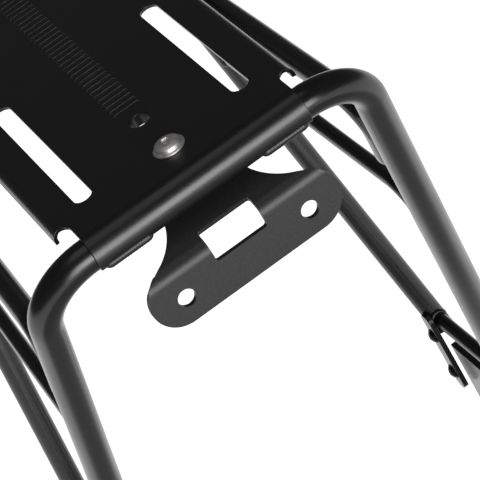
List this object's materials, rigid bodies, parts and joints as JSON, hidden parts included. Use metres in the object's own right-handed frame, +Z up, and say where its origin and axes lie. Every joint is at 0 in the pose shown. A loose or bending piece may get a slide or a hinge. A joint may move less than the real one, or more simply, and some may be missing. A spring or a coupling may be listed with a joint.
{
  "type": "bicycle rear luggage rack",
  "caption": "Welded black bicycle rear rack: slotted deck on two bent tube hoops, pannier rails, foot plates with axle bores, a light bracket and two adjustable stays.",
  "frame": {"origin": "midway between the two axle bores, on their common axis", "axes": "+X to the bicycle's right, +Y forward in the riding direction, +Z up; the deck is level"},
  "size_m": [0.1998, 0.3661, 0.3632],
  "materials": {
    "coat_sheet": "satin black coated sheet",
    "coat_tube": "satin black coated tube",
    "coat_plate": "satin black coated plate",
    "coat_steel": "satin black coated steel",
    "stainless": "turned stainless steel",
    "black_screw": "black oxide screw",
    "plug": "matt black plastic"
  },
  "bodies": {
    "frame": {"deck_plate": "coat_sheet", "rear_hoop": "coat_tube", "front_hoop": "coat_tube", "left_upper_rail": "coat_tube", "right_upper_rail": "coat_tube", "left_lower_rail": "coat_tube", "right_lower_rail": "coat_tube", "left_lower_brace": "coat_tube", "right_lower_brace": "coat_tube", "left_foot_plate": "coat_plate", "right_foot_plate": "coat_plate", "left_leg_plug": "plug", "right_leg_plug": "plug", "left_strut_plug": "plug", "right_strut_plug": "plug", "left_eyelet_tab": "coat_plate", "right_eyelet_tab": "coat_plate", "left_tab_screws": "black_screw", "right_tab_screws": "black_screw", "light_bracket": "coat_steel", "bracket_screw": "stainless", "bracket_nut": "stainless"},
    "left_clamp": {"left_stay_clamp": "coat_plate", "left_pivot_bolt": "stainless", "left_pinch_screw": "stainless"},
    "left_stay": {"left_stay_rod": "coat_tube", "left_stay_bolt": "stainless"},
    "right_clamp": {"right_stay_clamp": "coat_plate", "right_pivot_bolt": "stainless", "right_pinch_screw": "stainless"},
    "right_stay": {"right_stay_rod": "coat_tube", "right_stay_bolt": "stainless"}
  },
  "joints": [
    {"name": "right_stay_swivel", "type": "hinge", "parent": "frame", "child": "right_clamp", "pos_m": [0.036, 0.081, 0.346], "axis": [0, 0, -1], "range_deg": [-5, 8]},
    {"name": "right_stay_slide", "type": "slide", "parent": "right_clamp", "child": "right_stay", "axis": [0, 1, 0], "range_m": [0, 0.045]},
    {"name": "left_stay_swivel", "type": "hinge", "parent": "frame", "child": "left_clamp", "pos_m": [-0.036, 0.081, 0.346], "axis": [0, 0, 1], "range_deg": [-5, 8]},
    {"name": "left_stay_slide", "type": "slide", "parent": "left_clamp", "child": "left_stay", "axis": [0, 1, 0], "range_m": [0, 0.045]}
  ]
}
